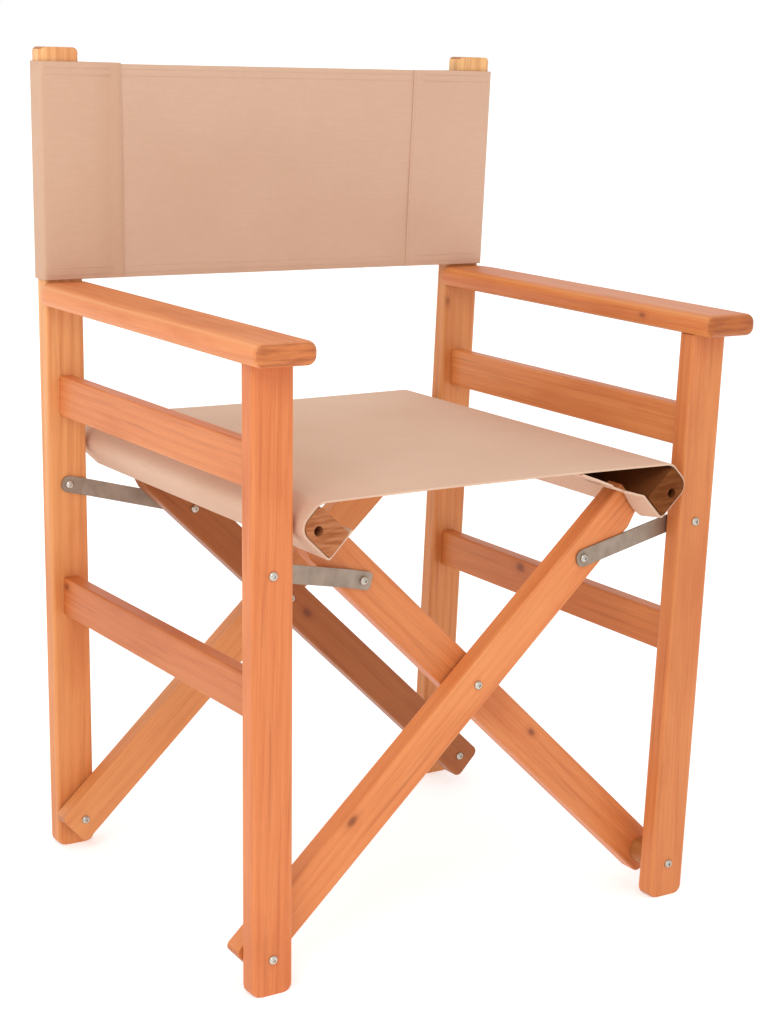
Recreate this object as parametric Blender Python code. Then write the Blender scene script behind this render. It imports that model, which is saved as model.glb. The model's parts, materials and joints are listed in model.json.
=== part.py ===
"""Folding director's chair: two wooden side frames joined by two pairs of crossed bars.

The chair faces -Y, so its left side frame is at -X as seen from the front, and +Z is up.
The origin is on the floor, below the middle of the chair's overall box.

The outer bars (front and rear) run from the left frame's feet up to the right seat rail.
The inner bars run from the right frame's feet up to the left seat rail and cross them.
Everything that turns does so about an axis along Y, so the chair folds sideways.
"""

import math

import bmesh
import bpy
from mathutils import Matrix, Vector

MM = 0.001
GAP = 0.3 * MM  # between pieces that touch

# Side frames
SPLAY = 0.020  # outward lean of each side frame, as a slope
SPLAY_DATUM = 300 * MM  # height at which the post dimensions below hold
POST_INNER = 227.5 * MM
POST_WIDTH = 43.5 * MM
POST_DEPTH = 21 * MM
POST_TOP = 870 * MM
FRAME_DEPTH = 459 * MM
POST_EASE = 3 * MM
FOOT_RADIUS = 8 * MM
HEAD_RADIUS = 5 * MM
RAIL_THICKNESS = 18 * MM
LOWER_RAIL = (267 * MM, 309 * MM)  # bottom and top
UPPER_RAIL = (487.5 * MM, 530 * MM)
ARM_BOTTOM = 606.5 * MM
ARM_THICKNESS = 22.5 * MM
ARM_WIDTH = 64 * MM
ARM_MIDDLE = 258 * MM
ARM_FRONT = -260 * MM
ARM_RADIUS = 9 * MM
ARM_END_EASE = 8 * MM
ARM_REAR_ROUND = (28 * MM, 11.5 * MM)  # length and depth of the outer edge's curve at the post

# Crossed bars
BAR_WIDTH = 42 * MM
BAR_THICKNESS = 22 * MM
BAR_EASE = 2 * MM
FOOT_PIVOT_Z = 36 * MM
CENTRE_PIVOT_Z = 265.3 * MM
BAR_OVERHANG = 18 * MM  # wood past the foot pivot
BAR_CORNER = 6 * MM
TRIM_LENGTH = 22 * MM  # the outer corner at the seat rail is cut back
TRIM_DEPTH = 7 * MM
WASHER_THICKNESS = 1.6 * MM

# Seat rails, measured along and across their bars
SEAT_RAIL_LONG = 42.6 * MM
SEAT_RAIL_SHORT = 29.5 * MM
SEAT_RAIL_REACH = 274.7 * MM  # centre pivot to the rail's middle, along the bar
SEAT_RAIL_DROP = 4.4 * MM  # the rail's middle lies this far outside the bar's middle line
SEAT_RAIL_FRONT = -240 * MM
SEAT_RAIL_REAR = 246 * MM
SEAT_RAIL_ROUND = 12 * MM
SEAT_RAIL_EDGE = 2.5 * MM
DOWEL_HOLE_RADIUS = 5 * MM
DOWEL_HOLE_DEPTH = 25 * MM
DOWEL_HOLES = {-1: (6.5 * MM, 4 * MM), 1: (2 * MM, 5 * MM)}  # from each rail's middle, along and out

# Steel links between the posts and the bars
LINK_WIDTH = 18 * MM
LINK_THICKNESS = 2 * MM
LINK_POST_Z = 411.8 * MM
LINK_BAR_REACH = 170.7 * MM  # centre pivot to the link's hole, along the bar
LINK_CORNER = 8 * MM
LEFT_LINK_CORNER = 4.5 * MM  # on the bar, where the bent links end nearly square
LINK_PAD = 16 * MM  # flat length past each hole before a bent link slopes

# Fasteners
BOLT_RADIUS = 3 * MM
HOLE_RADIUS = 3.3 * MM
CLEAR_OF_HOLE = 12 * MM
HEAD_OUTER = 4.7 * MM
HEAD_HEIGHT = 2.8 * MM
NUT_FLATS = 10 * MM
NUT_HEIGHT = 3.6 * MM
NUT_ROOM = NUT_HEIGHT + 2 * MM  # a bolt's length past the face its nut rests on
WASHER_RADIUS = 8 * MM
SPACER_RADIUS = 13.5 * MM
SCREW_RADIUS = 2.2 * MM
SCREW_HOLE_RADIUS = 2.5 * MM
SCREW_HEAD_RADIUS = 4.4 * MM
SCREW_HEAD_HEIGHT = 2.6 * MM
SCREW_IN_BAR = 45 * MM

# Canvas
CANVAS = 2 * MM
CANVAS_CLEARANCE = 0.4 * MM
SEAT_FRONT = -238 * MM
SEAT_REAR = 246 * MM
BACK_BOTTOM = 632 * MM
BACK_TOP = 854.5 * MM
BACK_SEAM = 180 * MM

# Worked out from the above
FRONT_FACE = -FRAME_DEPTH / 2  # outer faces of the legs and posts
REAR_FACE = FRAME_DEPTH / 2
LEG_BACK = FRONT_FACE + POST_DEPTH
POST_FRONT = REAR_FACE - POST_DEPTH
LAYER_ONE = LEG_BACK + GAP + LINK_THICKNESS + GAP  # front face of the outer front bar
LAYER_ONE_BACK = LAYER_ONE + BAR_THICKNESS
LAYER_TWO = LAYER_ONE_BACK + GAP + WASHER_THICKNESS + GAP  # front face of the inner front bar
LAYER_TWO_BACK = LAYER_TWO + BAR_THICKNESS
POST_MIDDLE = POST_INNER + POST_WIDTH / 2


def leaning(x, z):
    """The distance from the middle plane, at height z, of a line on a frame that is at x at the datum."""
    return x + SPLAY * (z - SPLAY_DATUM)


FOOT_PIVOT_X = leaning(POST_MIDDLE, FOOT_PIVOT_Z)
LINK_POST_X = leaning(POST_MIDDLE, LINK_POST_Z)
BAR_ANGLE = math.atan2(CENTRE_PIVOT_Z - FOOT_PIVOT_Z, FOOT_PIVOT_X)
BAR_LOWER = math.hypot(CENTRE_PIVOT_Z - FOOT_PIVOT_Z, FOOT_PIVOT_X)
BAR_TOP = SEAT_RAIL_REACH - SEAT_RAIL_LONG / 2 - GAP
SCREW_FACE = SEAT_RAIL_REACH + SEAT_RAIL_LONG / 2
SCREW_TIP = BAR_TOP - SCREW_IN_BAR
LEFT, RIGHT = -1, 1
FRONT, REAR = -1, 1
SIDE_NAMES = {LEFT: "left", RIGHT: "right"}
END_NAMES = {FRONT: "front", REAR: "rear"}


def clear_scene():
    for obj in list(bpy.data.objects):
        bpy.data.objects.remove(obj, do_unlink=True)


def make_material(name, colour, roughness, metallic=0.0):
    material = bpy.data.materials.new(name)
    material.use_nodes = True
    shader = material.node_tree.nodes["Principled BSDF"]
    shader.inputs["Base Color"].default_value = (*colour, 1.0)
    shader.inputs["Roughness"].default_value = roughness
    shader.inputs["Metallic"].default_value = metallic
    return material


def make_empty(name, parent, position):
    empty = bpy.data.objects.new(name, None)
    bpy.context.scene.collection.objects.link(empty)
    empty.parent = parent
    empty.location = position
    return empty


def add_piece(name, mesh, body, material):
    """Makes a piece of a bmesh in chair coordinates, and hangs it on its body."""
    mesh.normal_update()
    bmesh.ops.recalc_face_normals(mesh, faces=mesh.faces)
    bmesh.ops.translate(mesh, verts=mesh.verts, vec=-body.location)
    data = bpy.data.meshes.new(name)
    mesh.to_mesh(data)
    mesh.free()
    data.materials.append(material)
    piece = bpy.data.objects.new(name, data)
    bpy.context.scene.collection.objects.link(piece)
    piece.parent = body
    return piece


def cut_with(piece, cutters):
    """Takes separate cutters, bmeshes in chair coordinates, out of the piece in one go."""
    joined = bmesh.new()
    for cutter in cutters:
        part = bpy.data.meshes.new("cutter_part")
        cutter.to_mesh(part)
        cutter.free()
        joined.from_mesh(part)
        bpy.data.meshes.remove(part)
    tool = add_piece(piece.name + "_cutter", joined, piece.parent, piece.data.materials[0])
    tool.hide_render = True
    tool.display_type = "WIRE"
    boolean = piece.modifiers.new("cut", "BOOLEAN")
    boolean.operation = "DIFFERENCE"
    boolean.solver = "EXACT"
    boolean.object = tool


def rounded_outline(corners):
    """Points of a polygon whose corners (x, z, radius, segments) are turned into arcs."""
    points = []
    count = len(corners)
    for i, (x, z, radius, segments) in enumerate(corners):
        here = Vector((x, z))
        before = (Vector(corners[i - 1][:2]) - here).normalized()
        after = (Vector(corners[(i + 1) % count][:2]) - here).normalized()
        if radius <= 0:
            points.append(here)
            continue
        half = before.angle(after) / 2
        centre = here + (before + after).normalized() * radius / math.sin(half)
        start = here + before * radius / math.tan(half) - centre
        sweep = (math.pi - 2 * half) * (1 if before.cross(after) < 0 else -1)
        for step in range(segments + 1):
            points.append(centre + Matrix.Rotation(sweep * step / segments, 2) @ start)
    return points


def extruded(points, place, low, high):
    """A bmesh prism: place(point, depth) gives the position of an outline point at a depth."""
    mesh = bmesh.new()
    near = [mesh.verts.new(place(p, low)) for p in points]
    far = [mesh.verts.new(place(p, high)) for p in points]
    mesh.faces.new(near)
    mesh.faces.new(reversed(far))
    for i in range(len(points)):
        j = (i + 1) % len(points)
        mesh.faces.new((near[i], near[j], far[j], far[i]))
    return mesh


def along_y(point, depth):
    return Vector((point[0], depth, point[1]))


def rounded_end(end, inward, low, high, radius, segments):
    """Sections (along, low, high) that round the two corners at an end, from the end inwards."""
    sections = []
    for step in range(segments, -1, -1):
        angle = math.pi / 2 * step / segments
        inset = radius * (1 - math.cos(angle))
        along = end + inward * radius * (1 - math.sin(angle))
        sections.append((along, low + inset, high - inset))
    return sections


def eased_section(low, high, front, back, ease, segments=2):
    """A rectangle's outline as (across, depth) points, with its corners rounded when ease isn't 0."""
    if not ease:
        return [(low, front), (high, front), (high, back), (low, back)]
    points = []
    turn = 0
    for across, depth in ((high, back), (low, back), (low, front), (high, front)):
        centre_across = min(max(across, low + ease), high - ease)
        centre_depth = min(max(depth, front + ease), back - ease)
        for step in range(segments + 1):
            angle = turn + math.pi / 2 * step / segments
            points.append((centre_across + ease * math.cos(angle), centre_depth + ease * math.sin(angle)))
        turn += math.pi / 2
    return points


def lofted(sections, faces, ease, place):
    """A bmesh bar through (along, low, high) sections, between a front and a back face."""
    outlines = [(along, eased_section(low, high, *faces, ease)) for along, low, high in sections]
    return skinned(outlines, place)


def skinned(outlines, place):
    """A bmesh through closed outlines of (across, depth) points, each at a distance along."""
    mesh = bmesh.new()
    loops = []
    for along, outline in outlines:
        loops.append([mesh.verts.new(place(along, across, depth)) for across, depth in outline])
    for first, second in zip(loops, loops[1:]):
        for i in range(len(first)):
            j = (i + 1) % len(first)
            mesh.faces.new((first[i], first[j], second[j], second[i]))
    mesh.faces.new(loops[0])
    mesh.faces.new(loops[-1])
    return mesh


def turned(profile, segments, place):
    """A bmesh of revolution from (radius, height) pairs, whose first and last radius are 0."""
    mesh = bmesh.new()
    rings = []
    for radius, height in profile:
        if radius == 0:
            rings.append([mesh.verts.new(place @ Vector((0, 0, height)))])
            continue
        turns = (math.tau * i / segments for i in range(segments))
        rings.append(
            [
                mesh.verts.new(place @ Vector((radius * math.cos(t), radius * math.sin(t), height)))
                for t in turns
            ]
        )
    for lower, upper in zip(rings, rings[1:]):
        for i in range(segments):
            j = (i + 1) % segments
            corners = [loop[k % len(loop)] for loop, k in ((lower, i), (lower, j), (upper, j), (upper, i))]
            mesh.faces.new(list(dict.fromkeys(corners)))
    return mesh


def ring(outer, inner, low, high, place):
    """A bmesh tube between two outlines of the same number of points."""
    mesh = bmesh.new()
    loops = []
    for outline, height in ((outer, low), (outer, high), (inner, high), (inner, low)):
        loops.append([mesh.verts.new(place @ Vector((x, y, height))) for x, y in outline])
    for first, second in zip(loops, loops[1:] + loops[:1]):
        for i in range(len(first)):
            j = (i + 1) % len(first)
            mesh.faces.new((first[i], first[j], second[j], second[i]))
    return mesh


def circle(radius, segments):
    turns = (math.tau * i / segments for i in range(segments))
    return [(radius * math.cos(t), radius * math.sin(t)) for t in turns]


def facing_y(x, y, z, facing):
    """Places a turned piece with its height axis along Y: facing is -1 for the front, 1 for the rear."""
    return Matrix.Translation((x, y, z)) @ Matrix.Rotation(-facing * math.pi / 2, 4, "X")


def drill(x, z, low, high, radius=HOLE_RADIUS):
    """The cutter for a round hole along Y."""
    profile = [(0, 0), (radius, 0), (radius, high - low), (0, high - low)]
    return turned(profile, 16, facing_y(x, low, z, REAR))


def bar_point(side, along, out, y):
    """A point of a bar that rises towards a side.

    along is measured from the centre pivot, and out from the bar's middle line, downwards and outwards.
    """
    x = along * math.cos(BAR_ANGLE) + out * math.sin(BAR_ANGLE)
    z = along * math.sin(BAR_ANGLE) - out * math.cos(BAR_ANGLE)
    return Vector((side * x, y, CENTRE_PIVOT_Z + z))


def make_bolt(name, x, z, head_face, tip, facing, body):
    """A round-headed bolt along Y. Its head rests on head_face and faces front or rear."""
    length = abs(tip - head_face) - GAP
    profile = [
        (0, -length),
        (BOLT_RADIUS, -length),
        (BOLT_RADIUS, 0),
        (HEAD_OUTER, 0),
        (HEAD_OUTER * 0.96, HEAD_HEIGHT * 0.4),
        (HEAD_OUTER * 0.66, HEAD_HEIGHT * 0.85),
        (0, HEAD_HEIGHT),
    ]
    place = facing_y(x, head_face + facing * GAP, z, facing)
    piece = add_piece(name, turned(profile, 16, place), body, STEEL)
    piece.data.shade_smooth()
    piece.data.set_sharp_from_angle(angle=math.radians(40))


def make_nut(name, x, z, face, facing, body):
    """A hexagonal nut that rests on a face."""
    outer = []
    for i in range(12):
        radius = NUT_FLATS / 2 / (1 if i % 2 else math.cos(math.pi / 6))
        outer.append((radius * math.cos(math.tau * i / 12), radius * math.sin(math.tau * i / 12)))
    place = facing_y(x, face + facing * GAP, z, facing)
    add_piece(name, ring(outer, circle(HOLE_RADIUS, 12), 0, NUT_HEIGHT, place), body, STEEL)


def make_spacer(name, x, z, low, high, radius, body, material):
    place = facing_y(x, low, z, REAR)
    add_piece(name, ring(circle(radius, 24), circle(HOLE_RADIUS, 24), 0, high - low, place), body, material)


def make_post(name, side, end, bottom, top, head_radius, body):
    """A leaning post, cut level at the foot and the head."""
    inner, outer = POST_INNER, POST_INNER + POST_WIDTH
    faces = (FRONT_FACE, LEG_BACK) if end == FRONT else (POST_FRONT, REAR_FACE)

    def place(along, across, depth):
        return Vector((side * leaning(across, along), depth, along))

    sections = rounded_end(bottom, 1, inner, outer, FOOT_RADIUS, 4)
    for middle in (FOOT_PIVOT_Z, LINK_POST_Z):
        sections += [(middle - CLEAR_OF_HOLE, inner, outer), (middle + CLEAR_OF_HOLE, inner, outer)]
    sections += reversed(rounded_end(top, -1, inner, outer, head_radius, 3))
    post = add_piece(name, lofted(sections, faces, POST_EASE, place), body, WOOD)
    spots = ((FOOT_PIVOT_X, FOOT_PIVOT_Z), (LINK_POST_X, LINK_POST_Z))
    cut_with(post, [drill(side * x, z, faces[0] - 5 * MM, faces[1] + 5 * MM) for x, z in spots])


def make_side_rail(name, side, heights, body):
    """A flat rail between the front leg and the rear post."""
    bottom, top = heights
    middle = side * leaning(POST_MIDDLE, (bottom + top) / 2)
    half = RAIL_THICKNESS / 2
    edge = 2.5 * MM
    corners = [
        (middle - half, bottom, edge, 2),
        (middle + half, bottom, edge, 2),
        (middle + half, top, edge, 2),
        (middle - half, top, edge, 2),
    ]
    low, high = LEG_BACK + GAP, POST_FRONT - GAP
    add_piece(name, extruded(rounded_outline(corners), along_y, low, high), body, WOOD)


def make_armrest(name, side, body):
    """A board with round long edges, which lies on the front leg and butts against the rear post."""
    bottom = ARM_BOTTOM + GAP
    rear = POST_FRONT - GAP
    steps = 5
    insets = []  # (y, inset all round, inset of the outer edge alone)
    for step in range(steps + 1):
        angle = math.pi / 2 * step / steps
        along = ARM_FRONT + ARM_END_EASE * (1 - math.cos(angle))
        insets.append((along, ARM_END_EASE * (1 - math.sin(angle)), 0))
    length, depth = ARM_REAR_ROUND
    for step in range(steps, -1, -1):
        angle = math.pi / 2 * step / steps
        insets.append((rear - length * (1 - math.cos(angle)), 0, depth * (1 - math.sin(angle))))
    outlines = []
    for along, inset, outer_inset in insets:
        inner = ARM_MIDDLE - ARM_WIDTH / 2 + inset
        outer = ARM_MIDDLE + ARM_WIDTH / 2 - inset - outer_inset
        heights = (bottom + inset, bottom + ARM_THICKNESS - inset)
        outlines.append((along, eased_section(inner, outer, *heights, ARM_RADIUS - inset, 5)))

    def place(along, across, height):
        return Vector((side * across, along, height))

    add_piece(name, skinned(outlines, place), body, WOOD)


def make_side_frame(side, body):
    """One side: the leg and the post, the two rails between them, and the armrest."""
    side_name = SIDE_NAMES[side]
    make_post(side_name + "_front_leg", side, FRONT, 0, ARM_BOTTOM, 0.5 * MM, body)
    make_post(side_name + "_rear_post", side, REAR, 0, POST_TOP, HEAD_RADIUS, body)
    make_side_rail(side_name + "_lower_rail", side, LOWER_RAIL, body)
    make_side_rail(side_name + "_upper_rail", side, UPPER_RAIL, body)
    make_armrest(side_name + "_armrest", side, body)


def make_bar(name, side, front_face, body):
    """A crossed bar that rises towards a side. Its top butts against that side's seat rail."""
    half = BAR_WIDTH / 2
    faces = (front_face, front_face + BAR_THICKNESS)

    def place(along, across, depth):
        return bar_point(side, along, across, depth)

    sections = rounded_end(-BAR_LOWER - BAR_OVERHANG, 1, -half, half, BAR_CORNER, 4)
    for middle in (-BAR_LOWER, 0, LINK_BAR_REACH):
        sections += [(middle - CLEAR_OF_HOLE, -half, half), (middle + CLEAR_OF_HOLE, -half, half)]
    sections += [(BAR_TOP - TRIM_LENGTH, -half, half), (BAR_TOP, -half, half - TRIM_DEPTH)]
    bar = add_piece(name, lofted(sections, faces, BAR_EASE, place), body, WOOD)
    spots = [bar_point(side, along, 0, 0) for along in (-BAR_LOWER, 0, LINK_BAR_REACH)]
    holes = [drill(spot.x, spot.z, faces[0] - 5 * MM, faces[1] + 5 * MM) for spot in spots]
    cut_with(bar, holes + [rail_screw_hole(side, sum(faces) / 2)])


def along_bar(side, along, y):
    """Places a turned piece on a bar's middle line, with its height axis up the bar."""
    direction = bar_point(side, 1, 0, y) - bar_point(side, 0, 0, y)
    turn = direction.to_track_quat("Z", "Y").to_matrix().to_4x4()
    return Matrix.Translation(bar_point(side, along, 0, y)) @ turn


def rail_screw(side, y):
    """The countersunk screw that goes in at the seat rail's outer face and down the bar."""
    length = SCREW_FACE - 0.4 * MM - SCREW_TIP
    profile = [
        (0, 0),
        (SCREW_RADIUS, 0),
        (SCREW_RADIUS, length - SCREW_HEAD_HEIGHT),
        (SCREW_HEAD_RADIUS, length),
        (0, length),
    ]
    return turned(profile, 12, along_bar(side, SCREW_TIP, y))


def rail_screw_hole(side, y):
    """The hole for it, with a countersunk mouth."""
    length = SCREW_FACE - SCREW_TIP + 2 * MM
    mouth = SCREW_HEAD_RADIUS + 0.6 * MM
    profile = [
        (0, 0),
        (SCREW_HOLE_RADIUS, 0),
        (SCREW_HOLE_RADIUS, length - SCREW_HEAD_HEIGHT - 3 * MM),
        (mouth, length - 2 * MM),
        (mouth, length + 3 * MM),
        (0, length + 3 * MM),
    ]
    return turned(profile, 12, along_bar(side, SCREW_TIP - 2 * MM, y))


def seat_rail_corners(side, grow=0.0):
    """The rail's corners as (x, z, radius, segments): inner top, outer top, outer bottom, inner bottom."""
    corners = []
    for along, out, radius, segments in (
        (-1, -1, SEAT_RAIL_EDGE, 2),
        (1, -1, SEAT_RAIL_EDGE * 2, 3),
        (1, 1, SEAT_RAIL_ROUND, 5),
        (-1, 1, SEAT_RAIL_EDGE, 2),
    ):
        point = bar_point(
            side,
            SEAT_RAIL_REACH + along * (SEAT_RAIL_LONG / 2 + grow),
            SEAT_RAIL_DROP + out * (SEAT_RAIL_SHORT / 2 + grow),
            0,
        )
        corners.append((point.x, point.z, radius + grow, segments))
    return corners


def make_seat_rail(name, side, bar_layers, body):
    """The rail under the canvas, with a blind dowel hole in each end."""
    outline = rounded_outline(seat_rail_corners(side))
    rail = add_piece(name, extruded(outline, along_y, SEAT_RAIL_FRONT, SEAT_RAIL_REAR), body, END_WOOD)
    along, out = DOWEL_HOLES[side]
    hole = bar_point(side, SEAT_RAIL_REACH + along, SEAT_RAIL_DROP + out, 0)
    spare = 5 * MM
    cutters = [rail_screw_hole(side, y) for y in bar_layers]
    for low, high in (
        (SEAT_RAIL_FRONT - spare, SEAT_RAIL_FRONT + DOWEL_HOLE_DEPTH),
        (SEAT_RAIL_REAR - DOWEL_HOLE_DEPTH, SEAT_RAIL_REAR + spare),
    ):
        cutters.append(drill(hole.x, hole.z, low, high, DOWEL_HOLE_RADIUS))
    cut_with(rail, cutters)


def make_link(name, side, post_face, bar_face, end, bar_corner, body):
    """A flat steel link from the post to a bar, bent where the two faces don't line up."""
    start = Vector((side * LINK_POST_X, 0, LINK_POST_Z))
    finish = bar_point(side, LINK_BAR_REACH, 0, 0)
    length = (finish - start).length
    forward = (finish - start).normalized()
    across = Vector((-forward.z, 0, forward.x))
    half = LINK_WIDTH / 2

    def place(along, width, depth):
        share = (along - LINK_PAD) / (length - 2 * LINK_PAD)
        y = post_face + (bar_face - post_face) * min(1.0, max(0.0, share))
        return start + forward * along + across * width + Vector((0, y + end * depth, 0))

    sections = rounded_end(-half, 1, -half, half, LINK_CORNER, 5)
    sections += [(LINK_PAD, -half, half), (length - LINK_PAD, -half, half)]
    sections += reversed(rounded_end(length + half, -1, -half, half, bar_corner, 5))
    link = add_piece(name, lofted(sections, (0, LINK_THICKNESS), 0, place), body, LINK_STEEL)
    holes = []
    for spot, face in ((start, post_face), (finish, bar_face)):
        low, high = sorted((face - end * 3 * MM, face + end * (LINK_THICKNESS + 3 * MM)))
        holes.append(drill(spot.x, spot.z, low, high))
    cut_with(link, holes)


def make_ribbon(name, path, thickness, place, levels, body, material):
    """Cloth as a strip: a path given a thickness, at each of the levels along the third direction."""
    mesh = bmesh.new()
    rows = []
    for level in levels:
        points = [Vector(p) for p in path(level)]
        row = []
        for i, point in enumerate(points):
            before = (point - points[i - 1]).normalized() if i else None
            after = (points[i + 1] - point).normalized() if i + 1 < len(points) else None
            along = ((before or after) + (after or before)).normalized()
            normal = Vector((-along.y, along.x))
            if before and after:
                normal /= math.sqrt((1 + before.dot(after)) / 2)
            for side in (1, -1):
                row.append(mesh.verts.new(place(point + normal * side * thickness / 2, level)))
        rows.append(row)
    count = len(rows[0])
    for lower, upper in zip(rows, rows[1:]):
        for i in range(0, count - 2, 2):
            mesh.faces.new((lower[i], lower[i + 2], upper[i + 2], upper[i]))
            mesh.faces.new((lower[i + 3], lower[i + 1], upper[i + 1], upper[i + 3]))
        mesh.faces.new((lower[1], lower[0], upper[0], upper[1]))
        mesh.faces.new((lower[-2], lower[-1], upper[-1], upper[-2]))
    for row in (rows[0], rows[-1]):
        for i in range(0, count - 2, 2):
            mesh.faces.new((row[i], row[i + 1], row[i + 3], row[i + 2]))
    return add_piece(name, mesh, body, material)


def seat_path(level):
    """Round both seat rails and across from one to the other, from left to right."""
    grow = CANVAS_CLEARANCE + CANVAS / 2
    halves = []
    for side in (LEFT, RIGHT):
        corners = seat_rail_corners(side, grow)
        outline = rounded_outline(corners)
        top = max(p.y for p in outline)
        first = next(i for i, point in enumerate(outline) if point.y == top)
        halves.append(outline[first:])
    left, right = halves
    return list(reversed(left)) + right


def back_path(level):
    """From the right seam behind the right post, round it, across the front and round the left post."""
    grow = CANVAS_CLEARANCE + CANVAS / 2
    inner = leaning(POST_INNER, level) - grow
    outer = leaning(POST_INNER + POST_WIDTH, level) + grow
    front, rear = POST_FRONT - grow, REAR_FACE + grow
    corner = 2.5 * MM
    half = [
        (BACK_SEAM, front + CANVAS + CANVAS_CLEARANCE),
        (BACK_SEAM + 8 * MM, front + CANVAS + 2 * CANVAS_CLEARANCE),
        (inner + 1 * MM, rear - 0.5 * MM),
        (inner + 4 * MM, rear),
        (outer - corner, rear),
        (outer, rear - corner),
        (outer, front + corner),
        (outer - corner, front),
    ]
    return half + [(-x, y) for x, y in reversed(half)]


def make_seat(body):
    def place(point, depth):
        return Vector((point.x, depth, point.y))

    make_ribbon("seat_cloth", seat_path, CANVAS, place, (SEAT_FRONT, SEAT_REAR), body, CANVAS_CLOTH)


def make_back(body):
    def place(point, level):
        return Vector((point.x, point.y, level))

    make_ribbon("back_cloth", back_path, CANVAS, place, (BACK_BOTTOM, BACK_TOP), body, CANVAS_CLOTH)


def make_foot_pivots(bodies):
    """Bolts through the feet. The inner bars stand off their posts on round wooden spacers."""
    for side in (LEFT, RIGHT):
        body = bodies[side]
        x, z = side * FOOT_PIVOT_X, FOOT_PIVOT_Z
        back = LAYER_ONE_BACK if side == LEFT else LAYER_TWO_BACK
        filler_end = LAYER_ONE if side == LEFT else LAYER_TWO
        side_name = SIDE_NAMES[side]
        make_bolt(f"{side_name}_front_foot_bolt", x, z, FRONT_FACE, back + NUT_ROOM, FRONT, body)
        make_nut(f"{side_name}_front_foot_nut", x, z, back, REAR, body)
        make_bolt(f"{side_name}_rear_foot_bolt", x, z, -back, REAR_FACE + NUT_ROOM, FRONT, body)
        make_nut(f"{side_name}_rear_foot_nut", x, z, REAR_FACE, REAR, body)
        radius = WASHER_RADIUS if side == LEFT else SPACER_RADIUS
        kind = "washer" if side == LEFT else "spacer"
        material = STEEL if side == LEFT else WOOD
        low, high = LEG_BACK + GAP, filler_end - GAP
        make_spacer(f"{side_name}_front_foot_{kind}", x, z, low, high, radius, body, material)
        make_spacer(f"{side_name}_rear_foot_{kind}", x, z, -high, -low, radius, body, material)


def make_centre_pivots(body):
    z = CENTRE_PIVOT_Z
    for end in (FRONT, REAR):
        name = END_NAMES[end]
        if end == FRONT:
            head, face = LAYER_ONE, LAYER_TWO_BACK
        else:
            head, face = -LAYER_TWO_BACK, -LAYER_ONE
        low, high = sorted((end * -LAYER_ONE_BACK, end * -LAYER_TWO))
        make_bolt(f"{name}_centre_bolt", 0, z, head, face + NUT_ROOM, FRONT, body)
        make_nut(f"{name}_centre_nut", 0, z, face, REAR, body)
        make_spacer(f"{name}_centre_washer", 0, z, low + GAP, high - GAP, WASHER_RADIUS, body, STEEL)


def make_links(bodies, link_bodies):
    """Four links. Those on the left reach the inner bars one layer further in, so they are bent."""
    for side in (LEFT, RIGHT):
        frame = bodies[side]
        bars = bodies["inner"] if side == LEFT else bodies["outer"]
        near = LAYER_TWO if side == LEFT else LAYER_ONE
        far = near + BAR_THICKNESS
        bar_corner = LEFT_LINK_CORNER if side == LEFT else LINK_CORNER
        hole = bar_point(side, LINK_BAR_REACH, 0, 0)
        x, z = side * LINK_POST_X, LINK_POST_Z
        for end in (FRONT, REAR):
            name = f"{SIDE_NAMES[side]}_{END_NAMES[end]}"
            body = link_bodies[side]
            post_side = end * (-LEG_BACK - GAP)
            bar_side = end * (-near + GAP + LINK_THICKNESS)
            make_link(name + "_link", side, post_side, bar_side, -end, bar_corner, body)
            inner_face = end * (-LEG_BACK - GAP - LINK_THICKNESS)
            if end == FRONT:
                make_bolt(name + "_link_bolt", x, z, FRONT_FACE, inner_face + NUT_ROOM, FRONT, frame)
                make_nut(name + "_link_nut", x, z, inner_face, REAR, frame)
                link_front = near - GAP - LINK_THICKNESS
                make_bolt(name + "_bar_bolt", hole.x, hole.z, link_front, near, FRONT, body)
                make_nut(name + "_bar_nut", hole.x, hole.z, far, REAR, bars)
            else:
                make_bolt(name + "_link_bolt", x, z, inner_face, REAR_FACE + NUT_ROOM, FRONT, frame)
                make_nut(name + "_link_nut", x, z, REAR_FACE, REAR, frame)
                link_back = -near + GAP + LINK_THICKNESS
                make_bolt(name + "_bar_bolt", hole.x, hole.z, -far, -near, FRONT, bars)
                make_nut(name + "_bar_nut", hole.x, hole.z, link_back, REAR, body)


clear_scene()
WOOD = make_material("oiled_wood", (0.78, 0.29, 0.11), 0.5)
END_WOOD = make_material("plain_wood", (0.45, 0.17, 0.07), 0.65)
CANVAS_CLOTH = make_material("canvas", (0.66, 0.44, 0.30), 0.9)
STEEL = make_material("bright_steel", (0.72, 0.70, 0.66), 0.3, 1.0)
LINK_STEEL = make_material("galvanised_steel", (0.45, 0.42, 0.38), 0.5, 1.0)

# The dimensions above are measured from midway between the front legs' and rear posts' outer faces.
CHAIR = make_empty("chair", None, (0, -(ARM_FRONT + SEAT_REAR) / 2, 0))
BODIES = {
    LEFT: make_empty("left_frame_body", CHAIR, (0, 0, 0)),
    "outer": make_empty("outer_bars_body", CHAIR, (-FOOT_PIVOT_X, 0, FOOT_PIVOT_Z)),
    "inner": make_empty("inner_bars_body", CHAIR, (0, 0, CENTRE_PIVOT_Z)),
    RIGHT: make_empty("right_frame_body", CHAIR, (FOOT_PIVOT_X, 0, FOOT_PIVOT_Z)),
}
LINK_BODIES = {
    side: make_empty(f"{SIDE_NAMES[side]}_links_body", CHAIR, (side * LINK_POST_X, 0, LINK_POST_Z))
    for side in (LEFT, RIGHT)
}

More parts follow.
